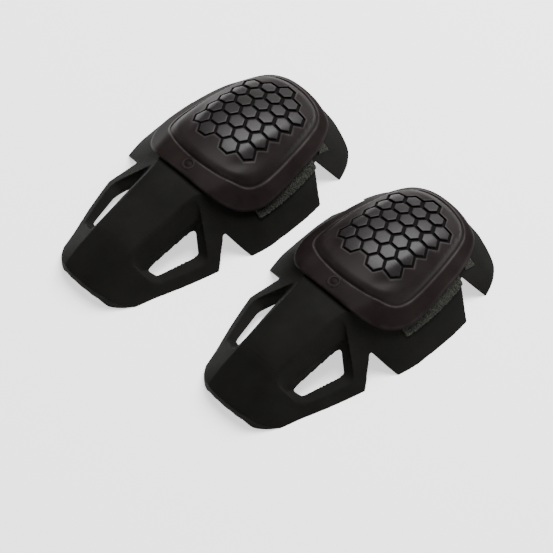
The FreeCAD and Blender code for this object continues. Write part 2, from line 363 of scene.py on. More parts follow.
# ------------------------------------------------------------------ shape tools
def steady_curve(knots: np.ndarray, values: np.ndarray, at: np.ndarray) -> np.ndarray:
    """Smooth curve through knots that never swings past them.

    Args:
        knots: Rising places of the knots.
        values: Value at each knot.
        at: Places to read, held inside the knots.

    Returns:
        The curve's value at each place.
    """
    at = np.clip(at, knots[0], knots[-1])
    step = np.diff(knots)
    slope = np.diff(values) / step
    rise = np.zeros(len(knots))
    rise[0], rise[-1] = slope[0], slope[-1]
    for k in range(1, len(knots) - 1):
        if slope[k - 1] * slope[k] > 0.0:
            rise[k] = 2.0 / (1.0 / slope[k - 1] + 1.0 / slope[k])
    k = np.clip(np.searchsorted(knots, at) - 1, 0, len(step) - 1)
    t = (at - knots[k]) / step[k]
    h = step[k]
    return ((2 * t**3 - 3 * t**2 + 1) * values[k] + (t**3 - 2 * t**2 + t) * h * rise[k]
            + (3 * t**2 - 2 * t**3) * values[k + 1] + (t**3 - t**2) * h * rise[k + 1])


def length_along(line: np.ndarray) -> np.ndarray:
    """Length of a line from its start to each of its points."""
    return np.concatenate(([0.0], np.cumsum(np.linalg.norm(np.diff(line, axis=0), axis=1))))


def round_curve(points: Sequence[Point], spacing: float, closed: bool = False) -> np.ndarray:
    """Catmull-Rom curve through plan points, read at an even spacing.

    Args:
        points: The points that the curve passes.
        spacing: Distance between the readings.
        closed: True for a loop.

    Returns:
        An array of x, y pairs; a loop doesn't repeat its first point.
    """
    p = np.array(points, float)
    ends = (p[-1:], p[:2]) if closed else (2 * p[:1] - p[1:2], 2 * p[-1:] - p[-2:-1])
    q = np.vstack((ends[0], p, ends[1]))
    t = np.linspace(0.0, 1.0, 24, endpoint=False)[:, None]
    dense = [0.5 * (2 * b + (c - a) * t + (2 * a - 5 * b + 4 * c - d) * t**2
                    + (3 * b - a - 3 * c + d) * t**3)
             for a, b, c, d in zip(q, q[1:], q[2:], q[3:])]
    line = np.vstack(dense + [p[:1] if closed else p[-1:]])
    run = length_along(line)
    count = max(int(round(run[-1] / spacing)), 3)
    read = np.linspace(0.0, run[-1], count + 1)
    out = np.stack((np.interp(read, run, line[:, 0]), np.interp(read, run, line[:, 1])), axis=1)
    return out[:-1] if closed else out


def both_sides(half: Sequence[Point]) -> list[Point]:
    """Full loop from a half plan that runs from front centre to rear centre."""
    return list(half) + [(-x, y) for x, y in reversed(half) if x > 0.0]


def inset(loop: np.ndarray, distance: float) -> np.ndarray:
    """Moves each point of a loop that runs anticlockwise inwards by distance."""
    along = np.roll(loop, -1, axis=0) - np.roll(loop, 1, axis=0)
    along /= np.linalg.norm(along, axis=1)[:, None]
    return loop + np.stack((-along[:, 1], along[:, 0]), axis=1) * distance


def depth_inside(loop: np.ndarray, x: np.ndarray, y: np.ndarray) -> np.ndarray:
    """Distance of each place to a loop, positive inside it."""
    a, b = loop, np.roll(loop, -1, axis=0)
    ab = b - a
    best = np.full(x.shape, 1e9)
    inside = np.zeros(x.shape, bool)
    for (ax, ay), (bx, by), (dx, dy) in zip(a, b, ab):
        t = np.clip(((x - ax) * dx + (y - ay) * dy) / (dx * dx + dy * dy), 0.0, 1.0)
        best = np.minimum(best, np.hypot(x - ax - t * dx, y - ay - t * dy))
        if ay != by:
            crossing = ((ay > y) != (by > y)) & (x < (bx - ax) * (y - ay) / (by - ay) + ax)
            inside ^= crossing
    return np.where(inside, best, -best)


def put(name: str, data: bpy.types.ID) -> bpy.types.Object:
    """Makes an object for the given data and links it to the scene."""
    thing = bpy.data.objects.new(name, data)
    bpy.context.scene.collection.objects.link(thing)
    return thing


def make_object(name: str, points: np.ndarray, faces: Sequence[Sequence[int]]) -> bpy.types.Object:
    """Makes a mesh object from points in millimetres.

    Args:
        name: Name of the object.
        points: Corner places in millimetres.
        faces: Corner numbers of each face.

    Returns:
        The new object, linked to the scene.
    """
    mesh = bpy.data.meshes.new(name)
    mesh.from_pydata((np.asarray(points) * MM).tolist(), [], [list(f) for f in faces])
    mesh.validate()
    return put(name, mesh)


def vectors(items: Sequence, name: str) -> np.ndarray:
    """Reads one vector of every item in a mesh's list, as rows of an array."""
    out = np.empty(len(items) * 3)
    items.foreach_get(name, out)
    return out.reshape(-1, 3)


def points_of(thing: bpy.types.Object) -> np.ndarray:
    """Gives a mesh's points in millimetres."""
    return vectors(thing.data.vertices, "co") / MM


def shade(thing: bpy.types.Object, crease: float) -> bpy.types.Object:
    """Shades a mesh smooth but for folds over crease degrees, and gives it back."""
    thing.data.shade_smooth()
    thing.data.set_sharp_from_angle(angle=math.radians(crease))
    return thing


def paint(thing: bpy.types.Object, layer_name: str,
          amount: Callable[[np.ndarray], np.ndarray]) -> None:
    """Writes a value into a mesh at each point.

    Args:
        thing: The object to paint.
        layer_name: Name of the layer that carries the value.
        amount: Value from 0 to 1 for an array of points in millimetres.
    """
    layer = thing.data.attributes.new(layer_name, "FLOAT", "POINT")
    layer.data.foreach_set("value", amount(points_of(thing)).astype(np.float32))


def face_outwards(thing: bpy.types.Object) -> bpy.types.Object:
    """Turns the faces of a closed solid outwards and gives the solid back."""
    shape = bmesh.new()
    shape.from_mesh(thing.data)
    bmesh.ops.recalc_face_normals(shape, faces=shape.faces)
    shape.to_mesh(thing.data)
    shape.free()
    return thing


def settle(thing: bpy.types.Object) -> None:
    """Applies an object's whole modifier stack to its mesh."""
    depsgraph = bpy.context.evaluated_depsgraph_get()
    mesh = bpy.data.meshes.new_from_object(thing.evaluated_get(depsgraph))
    thing.modifiers.clear()
    old, thing.data = thing.data, mesh
    mesh.name = thing.name
    bpy.data.meshes.remove(old)


def discard(things: Sequence[bpy.types.Object]) -> None:
    """Removes helper objects and their meshes."""
    for thing in things:
        mesh = thing.data
        bpy.data.objects.remove(thing)
        bpy.data.meshes.remove(mesh)


def modify(thing: bpy.types.Object, kind: str, **settings: object) -> None:
    """Adds one modifier with its settings to an object's stack."""
    step = thing.modifiers.new(kind.lower(), kind)
    for name, value in settings.items():
        setattr(step, name, value)


def carve(body: bpy.types.Object, tool: bpy.types.Object, how: str) -> None:
    """Adds one Boolean step to a body's stack."""
    modify(body, "BOOLEAN", operation=how, object=tool, solver="EXACT")


def moved_copy(source: bpy.types.Object, name: str, shift: Sequence[float]) -> bpy.types.Object:
    """Copies a settled object and shifts the copy's mesh by millimetres."""
    twin = put(name, source.data.copy())
    coords = np.empty(len(twin.data.vertices) * 3, np.float32)
    twin.data.vertices.foreach_get("co", coords)
    coords = coords.reshape(-1, 3) + np.array(shift, np.float32) * MM
    twin.data.vertices.foreach_set("co", coords.ravel())
    twin.data.update()
    return twin


def loft(name: str, rings: Sequence[np.ndarray]) -> bpy.types.Object:
    """Closed solid through rings that all have the same number of points.

    Args:
        name: Name of the solid.
        rings: The rings in order, as arrays of x, y, z rows.

    Returns:
        The solid, with its faces outwards.
    """
    count, last = len(rings[0]), len(rings) - 1
    faces = [list(range(count)), list(range(last * count, (last + 1) * count))[::-1]]
    for k in range(last):
        for j in range(count):
            a, b = k * count + j, k * count + (j + 1) % count
            faces.append([b, a, a + count, b + count])
    return face_outwards(make_object(name, np.vstack(rings), faces))


def blanket(name: str, points: Sequence[Sequence[float]], along: int, across: int) -> bpy.types.Object:
    """Closed blanket from a grid of points on its top and the same grid below.

    Args:
        name: Name of the blanket.
        points: Top grid, row by row, and then the grid of the underside.
        along: Steps from row to row.
        across: Steps in a row.

    Returns:
        The blanket, with its faces outwards.
    """
    row = across + 1
    shift = (along + 1) * row
    faces = []
    for i in range(along):
        for j in range(across):
            a = i * row + j
            faces.append([a, a + row, a + row + 1, a + 1])
            faces.append([shift + a, shift + a + 1, shift + a + row + 1, shift + a + row])
    sides = [(i * row + j, (i + 1) * row + j, turn)
             for i in range(along) for j, turn in ((0, 1), (across, -1))]
    sides += [(i * row + j, i * row + j + 1, turn)
              for j in range(across) for i, turn in ((0, -1), (along, 1))]
    faces += [[a, a + shift, b + shift, b][::turn] for a, b, turn in sides]
    return face_outwards(make_object(name, np.array(points), faces))


def prism(name: str, loop: Sequence[Point], low: float, high: float, axis: int) -> bpy.types.Object:
    """Straight solid with the given section.

    Args:
        name: Name of the solid.
        loop: Section, anticlockwise seen against the axis.
        low: Start along the axis in millimetres.
        high: End along the axis.
        axis: 0 for a y, z section along X, 2 for an x, y section along Z.

    Returns:
        The solid.
    """
    loop = [tuple(p) for p in loop]
    order = {0: lambda a, b, h: (h, a, b), 2: lambda a, b, h: (a, b, h)}[axis]
    count = len(loop)
    points = [order(a, b, low) for a, b in loop] + [order(a, b, high) for a, b in loop]
    faces = [list(range(count))[::-1], list(range(count, 2 * count))]
    faces += [(k, (k + 1) % count, count + (k + 1) % count, count + k) for k in range(count)]
    return face_outwards(make_object(name, np.array(points), faces))


def sheet_mesh(loops: Sequence[np.ndarray], spacing: float, outline: np.ndarray,
               rings: Sequence[np.ndarray] = ()) -> tuple[np.ndarray, list[list[int]]]:
    """Triangulates the inside of an outline with creases along given loops.

    Args:
        loops: Closed loops that the triangles' edges follow.
        spacing: Pitch of the filling points.
        outline: The outer loop.
        rings: More closed loops, which may cross each other.

    Returns:
        Plan points and faces.
    """
    points: list[Point] = []
    edges: list[tuple[int, int]] = []
    for loop in [outline, *loops, *rings]:
        first = len(points)
        points += [tuple(p) for p in loop]
        edges += [(first + k, first + (k + 1) % len(loop)) for k in range(len(loop))]
    x0, y0 = outline.min(axis=0)
    x1, y1 = outline.max(axis=0)
    rows = np.arange(y0, y1, spacing * 0.866)
    grid = np.array([(x, y) for k, y in enumerate(rows)
                     for x in np.arange(x0 + (k % 2) * spacing / 2, x1, spacing)])
    keep = depth_inside(outline, grid[:, 0], grid[:, 1]) > spacing * 0.4
    points += [tuple(p) for p in grid[keep]]
    boundary = [list(range(len(outline)))]
    verts, _, faces, *_ = delaunay_2d_cdt([Vector(p) for p in points], edges, boundary, 1, 1e-4)
    return np.array([tuple(v) for v in verts]), [list(f) for f in faces]


def rim_faces(faces: Sequence[Sequence[int]], shift: int) -> list[list[int]]:
    """Side faces that join the rim of a sheet to its copy, shift corners on."""
    sides = [(f[k], f[(k + 1) % len(f)]) for f in faces for k in range(len(f))]
    paired = set(sides)
    return [[b, a, a + shift, b + shift] for a, b in sides if (b, a) not in paired]


def slab(name: str, plan: np.ndarray, faces: list[list[int]], low: np.ndarray,
         high: np.ndarray) -> bpy.types.Object:
    """Closed solid between two heights over a triangulated plan.

    Args:
        name: Name of the solid.
        plan: Plan points.
        faces: Faces on the plan points.
        low: Height of the underside at each point.
        high: Height of the top at each point.

    Returns:
        The solid, with its faces outwards.
    """
    shift = len(plan)
    points = np.vstack((np.column_stack((plan, high)), np.column_stack((plan, low))))
    under = [[shift + k for k in f[::-1]] for f in faces]
    return face_outwards(make_object(name, points, list(faces) + under + rim_faces(faces, shift)))


def ease(share: np.ndarray) -> np.ndarray:
    """Smooth step from 0 to 1."""
    t = np.clip(share, 0.0, 1.0)
    return t * t * (3.0 - 2.0 * t)


def bent(x: np.ndarray, row: Sequence[np.ndarray], soft: float) -> np.ndarray:
    """Height of an arch that is crowned between two ridges and falls straight outside them.

    Args:
        x: Places across the arch.
        row: Crown z, ridge x, ridge z, side x and side z at each place.
        soft: Height over which the ridge is softened.

    Returns:
        The height at each place.
    """
    crown, ridge_x, ridge_z, side_x, side_z = row
    across = np.abs(x)
    top = crown - (crown - ridge_z) * (across / ridge_x)**2
    fall = ridge_z - (ridge_z - side_z) / (side_x - ridge_x) * (across - ridge_x)
    gap = np.clip(np.abs(top - fall) / soft, 0.0, 1.0)
    return np.minimum(top, fall) - soft * 0.25 * (1.0 - gap)**2


# ------------------------------------------------------------------ surfaces
@dataclass(frozen=True)
class ArchSkin:
    """Arched outer face of a moulding, given by cross-sections along it."""

    rows: Rows
    skirt: float = -12.0

    def read(self, y: np.ndarray) -> np.ndarray:
        """Gives crown, ridge x, ridge z, side x and side z at each y."""
        table = np.array(self.rows, float)
        y = np.asarray(y, float)
        return np.stack([steady_curve(table[:, 0], table[:, k], y) for k in range(1, 6)])

    def half_profile(self, y: float, lift: float) -> np.ndarray:
        """Half cross-section from the crown down to the skirt.

        Args:
            y: Station along the guard.
            lift: Distance outwards from the face.

        Returns:
            An array of x, z pairs.
        """
        crown, ridge_x, ridge_z, side_x, side_z = self.read(np.array([y]))[:, 0]
        share = np.linspace(0.0, 1.0, 8)
        arc = [(s * ridge_x, crown - (crown - ridge_z) * (0.35 * s + 0.65 * s * s)) for s in share]
        line = np.array(arc + [(side_x, side_z)])
        run = np.diff(line, axis=0)
        normal = np.stack((-run[:, 1], run[:, 0]), axis=1) / np.linalg.norm(run, axis=1)[:, None]
        moved = line.copy()
        moved[0] += (0.0, lift)
        pair = normal[:-1] + normal[1:]
        moved[1:-1] += pair * (lift / (1.0 + (normal[:-1] * normal[1:]).sum(axis=1)))[:, None]
        moved[-1] += normal[-1] * lift
        x0, z0 = moved[-2]
        x1, z1 = moved[-1]
        moved[-1] = (x1 + (x1 - x0) * (self.skirt - z1) / (z1 - z0), self.skirt)
        foot = moved[-2] + (moved[-1] - moved[-2]) * np.linspace(0.0, 1.0, 9)[1:, None]
        return np.vstack((moved[:-1], foot))

    def solid(self, name: str, lift: Callable[[float], float], step: float = 4.0) -> bpy.types.Object:
        """Closed solid under the face, lifted by a function of the station."""
        start, end = self.rows[0][0], self.rows[-1][0]
        stations = np.linspace(start, end, int((end - start) / step) + 1)
        loops = []
        for y in stations:
            half = self.half_profile(y, lift(y))
            full = np.vstack((half[::-1] * (-1, 1), half[1:]))
            loops.append(np.stack((full[:, 0], np.full(len(full), y), full[:, 1]), axis=1))
        return loft(name, loops)

    def point_across(self, y: float, reach: float, lift: float) -> Triple:
        """Point of the face at a distance from its crown, measured over the face.

        Args:
            y: Station along the guard.
            reach: Distance from the crown, positive towards +X.
            lift: Distance outwards from the face.

        Returns:
            The point in millimetres.
        """
        half = self.half_profile(y, lift)
        run = length_along(half)
        x = np.interp(abs(reach), run, half[:, 0]) * (1.0 if reach > 0 else -1.0)
        return float(x), y, float(np.interp(abs(reach), run, half[:, 1]))

    def surface_point(self, y: float, height: float, lift: float) -> Triple:
        """Point of the +X side face at a given height, moved outwards by lift."""
        half = self.half_profile(y, lift)
        x = float(np.interp(-height, -half[:, 1], half[:, 0]))
        return x, y, height


@dataclass(frozen=True)
class CapSkin:
    """Top face of the cap: a bent flange, a dome on it and a bead round the dome."""

    flange_rows: Rows = (
        (-84.0, 51.2, 28.0, 47.6, 56.0, 18.0),
        (-80.0, 52.2, 29.0, 48.6, 56.0, 20.0),
        (-71.0, 53.2, 31.0, 49.0, 56.0, 24.0),
        (-40.0, 53.8, 36.0, 46.4, 56.0, 29.0),
        (-11.0, 52.0, 36.0, 43.8, 56.0, 27.4),
        (14.0, 48.0, 34.0, 39.6, 56.0, 23.0),
        (28.0, 45.0, 31.0, 37.0, 56.0, 17.5),
        (44.5, 40.4, 27.0, 33.4, 56.0, 13.0),
        (54.0, 35.0, 24.0, 29.5, 56.0, 9.0),
    )
    dome_rows: Rows = (
        (-70.0, 50.0, 20.0, 46.0, 44.0, 30.0),
        (-62.0, 54.4, 20.0, 51.6, 44.0, 35.0),
        (-50.0, 57.2, 21.0, 54.4, 44.0, 38.0),
        (-38.0, 59.0, 23.0, 56.0, 44.0, 39.6),
        (-22.0, 59.6, 25.0, 56.6, 44.0, 40.0),
        (-6.0, 58.2, 26.0, 54.6, 44.0, 39.0),
        (7.0, 55.4, 26.0, 51.8, 44.0, 37.6),
        (20.0, 51.4, 26.0, 47.8, 44.0, 35.6),
        (33.0, 46.4, 25.0, 42.6, 44.0, 32.0),
        (50.0, 38.0, 20.0, 34.6, 44.0, 26.0),
    )
    flange_plan: tuple[Point, ...] = (
        (0.0, -80.4), (18.0, -80.0), (30.0, -78.0), (41.0, -71.6), (49.0, -63.4), (54.6, -52.0),
        (56.4, -40.0), (55.4, -24.0), (53.2, -10.0), (51.0, 4.0), (48.6, 15.0), (44.2, 28.0),
        (37.0, 42.0), (29.0, 48.6), (15.0, 51.6), (0.0, 52.2),
    )
    dome_plan: tuple[Point, ...] = (
        (0.0, -64.0), (18.0, -62.0), (31.0, -57.4), (40.0, -50.0), (43.6, -40.0),
        (43.6, -26.0), (41.6, -8.0), (38.6, 8.0), (34.4, 24.0), (29.6, 36.0), (22.0, 42.6),
        (10.0, 45.4), (0.0, 45.8),
    )
    foot_rise: float = 2.3
    foot_run: float = 6.0
    flange_soft: float = 2.6
    dome_soft: float = 1.8
    flange_thick: float = 2.6
    wall_thick: float = 3.6
    groove_deep: float = 0.8
    bead_high: float = 0.3
    bead_rings: tuple[float, ...] = (-3.2, -2.5, -1.9, -1.3, -0.9, -0.4, 0.1, 0.7)
    bead_relief: tuple[float, ...] = (0.0, 0.25, 1.0, 0.25, -0.75, -1.0, -0.75, 0.0)
    rim_rings: tuple[float, ...] = (0.15, 0.5, 1.0, 1.6)
    rim_round: float = 1.4
    foot_fade: float = 1.6
    hollow_inset: float = 4.0
    boss_place: Point = (0.0, -71.4)
    boss_rings: tuple[float, ...] = (0.0, 1.6, 2.2, 3.2, 3.7, 4.7, 5.3)
    boss_steps: tuple[float, ...] = (0.45, 0.45, 0.0, 0.0, 0.5, 0.5, 0.0)

    def flange(self, x: np.ndarray, y: np.ndarray) -> np.ndarray:
        """Height of the bare flange face."""
        return self.arch(self.flange_rows, x, y, self.flange_soft)

    def arch(self, rows: Rows, x: np.ndarray, y: np.ndarray, soft: float) -> np.ndarray:
        """Height of an arch whose cross-section changes along the cap."""
        table = np.array(rows)
        row = [steady_curve(table[:, 0], table[:, k], y) for k in range(1, 6)]
        return bent(x, row, soft)

    def dome_loop(self, spacing: float = 1.0) -> np.ndarray:
        """Foot of the dome in plan."""
        return round_curve(both_sides(self.dome_plan), spacing, closed=True)

    def flange_loop(self, spacing: float = 1.4) -> np.ndarray:
        """Rim of the flange in plan."""
        return round_curve(both_sides(self.flange_plan), spacing, closed=True)

    def smooth(self, x: np.ndarray, y: np.ndarray) -> np.ndarray:
        """Height of the dome and flange, without groove, bead and rim."""
        flange = self.flange(x, y)
        dome = self.arch(self.dome_rows, x, y, self.dome_soft)
        deep = depth_inside(self.dome_loop(2.0), x, y)
        foot = flange + self.foot_rise * ease(deep / self.foot_run)
        gap = np.clip(np.abs(dome - foot) / self.dome_soft, 0.0, 1.0)
        proud = np.maximum(dome, foot) + self.dome_soft * 0.25 * (1.0 - gap)**2
        return flange + (proud - flange) * ease(deep / self.foot_fade)

    def rim_loss(self, x: np.ndarray, y: np.ndarray) -> np.ndarray:
        """Height that the flange's rounded rim takes off each of its faces."""
        share = np.clip(depth_inside(self.flange_loop(), x, y) / self.rim_round, 0.0, 1.0)
        return self.flange_thick / 2 * (1.0 - np.sqrt(share))

    def top(self, x: np.ndarray, y: np.ndarray) -> np.ndarray:
        """Height of the finished face, before the tile pockets."""
        height = self.smooth(x, y)
        band = np.interp(depth_inside(self.dome_loop(), x, y), self.bead_rings, self.bead_relief)
        height += np.where(band > 0.0, band * self.bead_high, band * self.groove_deep)
        height -= self.rim_loss(x, y)
        reach = np.hypot(x - self.boss_place[0], y - self.boss_place[1])
        return height + np.interp(reach, self.boss_rings, self.boss_steps)

    def under(self, x: np.ndarray, y: np.ndarray) -> np.ndarray:
        """Height of the underside, with the hollow inside the dome."""
        low = self.flange(x, y) - self.flange_thick + self.rim_loss(x, y)
        share = np.clip(depth_inside(self.dome_loop(2.0), x, y) - self.hollow_inset, 0.0, 1.0)
        hollow = np.maximum(self.smooth(x, y) - self.wall_thick, low)
        return low + (hollow - low) * share


# ------------------------------------------------------------------ pieces
@dataclass
class Piece:
    """One finished piece of a guard, ready to be placed twice."""

    node: str
    thing: bpy.types.Object
    finish: Finish
    body: str = "core"
    blend: tuple[Sequence[float], Sequence[float]] | None = None
    fill: float | None = None
    mirror_side: int = 0
    second: Finish | None = None
    flat: tuple[float, float] | None = None


@dataclass
class FoamMoulding:
    """The foam of one guard: shin plate, knee cup, side flaps and thigh wing."""

    skin: ArchSkin = field(default_factory=lambda: ArchSkin((
        (-194.0, 7.0, 20.0, 4.5, 32.0, 0.0),
        (-185.0, 14.2, 20.0, 11.4, 34.4, 0.0),
        (-172.0, 22.9, 20.0, 20.2, 38.3, 0.0),
        (-158.0, 32.0, 18.5, 29.4, 42.3, 0.0),
        (-150.0, 38.0, 18.0, 33.8, 44.7, 0.0),
        (-141.0, 41.4, 18.3, 36.2, 47.9, 0.0),
        (-126.0, 44.6, 18.8, 39.0, 53.0, 0.0),
        (-108.0, 47.6, 19.4, 42.8, 58.3, 0.0),
        (-94.0, 49.2, 20.0, 45.6, 62.0, 0.0),
        (-82.0, 49.2, 22.0, 46.6, 65.0, 0.0),
        (-70.0, 47.4, 31.0, 43.6, 68.6, 0.0),
        (-50.0, 47.4, 40.0, 40.6, 71.8, 0.0),
        (-20.0, 46.4, 42.0, 38.6, 72.2, 0.0),
        (5.0, 43.4, 41.0, 34.8, 70.2, 0.0),
        (25.0, 38.0, 38.0, 29.5, 65.6, 0.0),
        (42.0, 31.4, 33.0, 23.0, 58.6, 0.0),
        (54.0, 23.6, 29.0, 16.0, 48.6, 0.0),
        (64.0, 13.0, 26.0, 8.0, 40.0, 0.0),
    )))
    cap: CapSkin = field(default_factory=CapSkin)
    seat_gap: float = 0.9
    room_scale: float = 1.03
    wall: float = 9.5
    tip_wall: float = 7.0
    thin_end: float = -192.0
    thin_run: float = 42.0
    reach: float = 95.0
    height: float = 90.0
    voxel: float = 0.6
    softening: int = 14
    thinning: float = 0.25
    crease: float = 0.6
    tip_plan: tuple[Point, ...] = (
        (0.0, -185.6), (14.0, -184.6), (25.0, -181.0), (33.0, -175.0), (39.4, -167.0))
    rear_plan: tuple[Point, ...] = (
        (66.2, 25.6), (60.9, 38.0), (55.4, 46.5), (48.0, 53.4), (34.5, 57.4), (15.0, 58.8), (0.0, 59.0))
    window_stages: tuple[tuple[Triple, ...], ...] = (
        ((29.0, -94.2, -6.0), (49.2, -108.0, -6.0), (40.8, -144.6, -6.0), (25.0, -141.8, -6.0)),
        ((30.0, -94.2, 21.2), (42.9, -103.2, 8.9), (34.7, -139.4, 9.3), (27.0, -141.8, 11.5)),
        ((30.4, -85.3, 31.2), (52.3, -103.3, 7.5), (41.2, -141.8, 7.5), (25.2, -150.2, 18.0)),
        ((21.2, -83.6, 46.9), (57.0, -105.6, 4.6), (43.4, -145.0, 4.6), (19.4, -155.6, 31.4)),
        ((19.6, -83.0, 52.0), (62.6, -108.2, 2.6), (46.6, -148.8, 2.6), (17.2, -158.2, 38.0)),
    )
    window_corner: float = 0.17
    front_notch: tuple[Point, ...] = (
        (-100.4, -2.0), (-83.4, 16.2), (-82.0, 17.9), (-80.4, 18.3), (-79.0, 17.2), (-70.6, -2.0))
    rear_notch: tuple[Point, ...] = (
        (-0.8, -2.0), (5.6, 9.0), (13.0, 19.8), (14.6, 20.9), (16.2, 20.2), (28.2, -2.0))
    shin_flex: float = -81.4
    thigh_flex: float = 15.8
    flap_flex: Point = (55.4, 17.5)
    flap_down: Point = (0.6, -0.8)
    flap_split: float = -4.0
    flap_bend: tuple[float, float] = (-3.0, 7.0)
    shin_bend: tuple[float, float] = (-0.6, -12.0)
    shin_pivot: float = 38.0
    thigh_bend: tuple[float, float] = (0.4, 12.0)
    thigh_pivot: float = 31.0
    shin_split: float = 0.6
    thigh_split: float = -0.8

    def wall_at(self, y: float) -> float:
        """Foam thickness at a station, thinner towards the shin end."""
        share = min(max((y - self.thin_end) / self.thin_run, 0.0), 1.0)
        return self.tip_wall + (self.wall - self.tip_wall) * share

    def window_tool(self, side: int) -> bpy.types.Object:
        """Flared cutter with rounded corners for one side's window."""
        rings = [self.rounded_ring(np.array(stage)) * (side, 1, 1) for stage in self.window_stages]
        return loft("window_tool", rings)

    def rounded_ring(self, corners: np.ndarray) -> np.ndarray:
        """Rounds each corner of a ring with a short parabola."""
        ring = []
        for before, here, after in zip(np.roll(corners, 1, axis=0), corners, np.roll(corners, -1, axis=0)):
            a = here + (before - here) * self.window_corner
            b = here + (after - here) * self.window_corner
            for t in np.linspace(0.0, 1.0, 6):
                ring.append((1 - t)**2 * a + 2 * t * (1 - t) * here + t**2 * b)
        return np.array(ring)

    def plan_loop(self) -> list[Point]:
        """Outline of the guard in plan."""
        tip = [tuple(p) for p in round_curve(self.tip_plan, 3.0)]
        rear = [tuple(p) for p in round_curve(self.rear_plan, 4.0)]
        return both_sides(tip + [(90.0, -150.0), (90.0, 18.0)] + rear)

    def flange_room(self) -> bpy.types.Object:
        """The room that the cap's flange takes up, with air under it."""
        plan, faces = sheet_mesh([], 5.0, self.cap.flange_loop(4.0) * self.room_scale)
        low = self.cap.flange(plan[:, 0], plan[:, 1]) - self.cap.flange_thick - self.seat_gap
        return slab("room", plan, faces, low, np.full(len(plan), self.height))

    def whole(self) -> bpy.types.Object:
        """The whole foam as it leaves the mould, with softened edges."""
        body = self.skin.solid("foam", lambda y: 0.0)
        cuts = [prism("notch", loop[::-1], -self.reach, self.reach, 0)
                for loop in (self.rear_notch, self.front_notch)]
        cuts += [self.window_tool(side) for side in (1, -1)]
        plan = prism("plan", self.plan_loop(), 0.0, self.height, 2)
        hollow = self.skin.solid("hollow", lambda y: -self.wall_at(y))
        tools = [plan, hollow, *cuts, self.flange_room()]
        carve(body, plan, "INTERSECT")
        for tool in tools[1:]:
            carve(body, tool, "DIFFERENCE")
        settle(body)
        discard(tools)
        form = moved_copy(body, "form", (0.0, 0.0, 0.0))
        modify(body, "REMESH", mode="VOXEL", voxel_size=self.voxel * MM, use_smooth_shade=True)
        modify(body, "SHRINKWRAP", target=form)
        settle(body)
        self.gather_edges(body, form)
        modify(body, "SMOOTH", factor=0.5, iterations=self.softening)
        modify(body, "DECIMATE", ratio=self.thinning, use_collapse_triangulate=True)
        settle(body)
        discard([form])
        return body

    def gather_edges(self, body: bpy.types.Object, form: bpy.types.Object) -> None:
        """Draws the nearest points of the fine mesh onto the form's sharp edges.

        Args:
            body: The fine mesh to change.
            form: The sharp-edged form it was made from.
        """
        points = body.data.vertices
        tree = KDTree(len(points))
        for point in points:
            tree.insert(point.co, point.index)
        tree.balance()
        shape = bmesh.new()
        shape.from_mesh(form.data)
        spacing = self.voxel * MM * 0.7
        for edge in shape.edges:
            if edge.calc_face_angle(0.0) < self.crease:
                continue
            start, end = (vert.co for vert in edge.verts)
            count = max(int(edge.calc_length() / spacing), 1)
            for step in range(count + 1):
                place = start.lerp(end, step / count)
                _, index, distance = tree.find(place)
                if distance < 1.2 * self.voxel * MM:
                    points[index].co = place
        shape.free()

    def zone_of(self, x: np.ndarray, y: np.ndarray, z: np.ndarray) -> np.ndarray:
        """Number of the zone that holds each place, 0 cup, 1 and 2 flaps, 3 shin, 4 thigh."""
        fx, fz = self.flap_flex
        down = (np.abs(x) - fx) * self.flap_down[0] + (z - fz) * self.flap_down[1]
        zone = np.where(down > self.flap_split, np.where(x > 0.0, 1, 2), 0)
        zone = np.where(y < self.shin_flex + self.shin_split, 3, zone)
        return np.where(y > self.thigh_flex + self.thigh_split, 4, zone)

    def parted(self) -> list[bpy.types.Object]:
        """Parts the moulding at its flex lines and keeps its shading whole."""
        body = self.whole()
        mesh = body.data
        points = points_of(body)
        normals = vectors(mesh.vertex_normals, "vector")
        polygons = np.array([tuple(p.vertices) for p in mesh.polygons])
        centre = points[polygons].mean(axis=1)
        zones = self.zone_of(centre[:, 0], centre[:, 1], centre[:, 2])
        parts = []
        for zone in range(5):
            faces = polygons[zones == zone]
            used, index = np.unique(faces, return_inverse=True)
            index = index.reshape(faces.shape)
            part = make_object("zone", points[used], index.tolist())
            part.data.shade_smooth()
            part.data.normals_split_custom_set_from_vertices(normals[used].tolist())
            parts.append(part)
        discard([body])
        return parts

    def pieces(self) -> Iterator[Piece]:
        """Gives the five foam pieces."""
        cup, right, left, shin, thigh = self.parted()
        yield Piece("knee_cup", cup, Finish.FOAM, fill=1.0)
        fx, fz = self.flap_flex
        for side, thing in ((1, right), (-1, left)):
            ends = tuple((side * (fx + run * self.flap_down[0]), 0.0, fz + run * self.flap_down[1])
                         for run in self.flap_bend)
            yield Piece("flap", thing, Finish.FOAM, "flap", ends, 1.0, side)
        ends = tuple((0.0, self.shin_flex + run, self.shin_pivot) for run in self.shin_bend)
        yield Piece("shin_plate", shin, Finish.FOAM, "shin", ends, 1.0)
        ends = tuple((0.0, self.thigh_flex + run, self.thigh_pivot) for run in self.thigh_bend)
        yield Piece("thigh_wing", thigh, Finish.FOAM, "thigh", ends, 1.0)


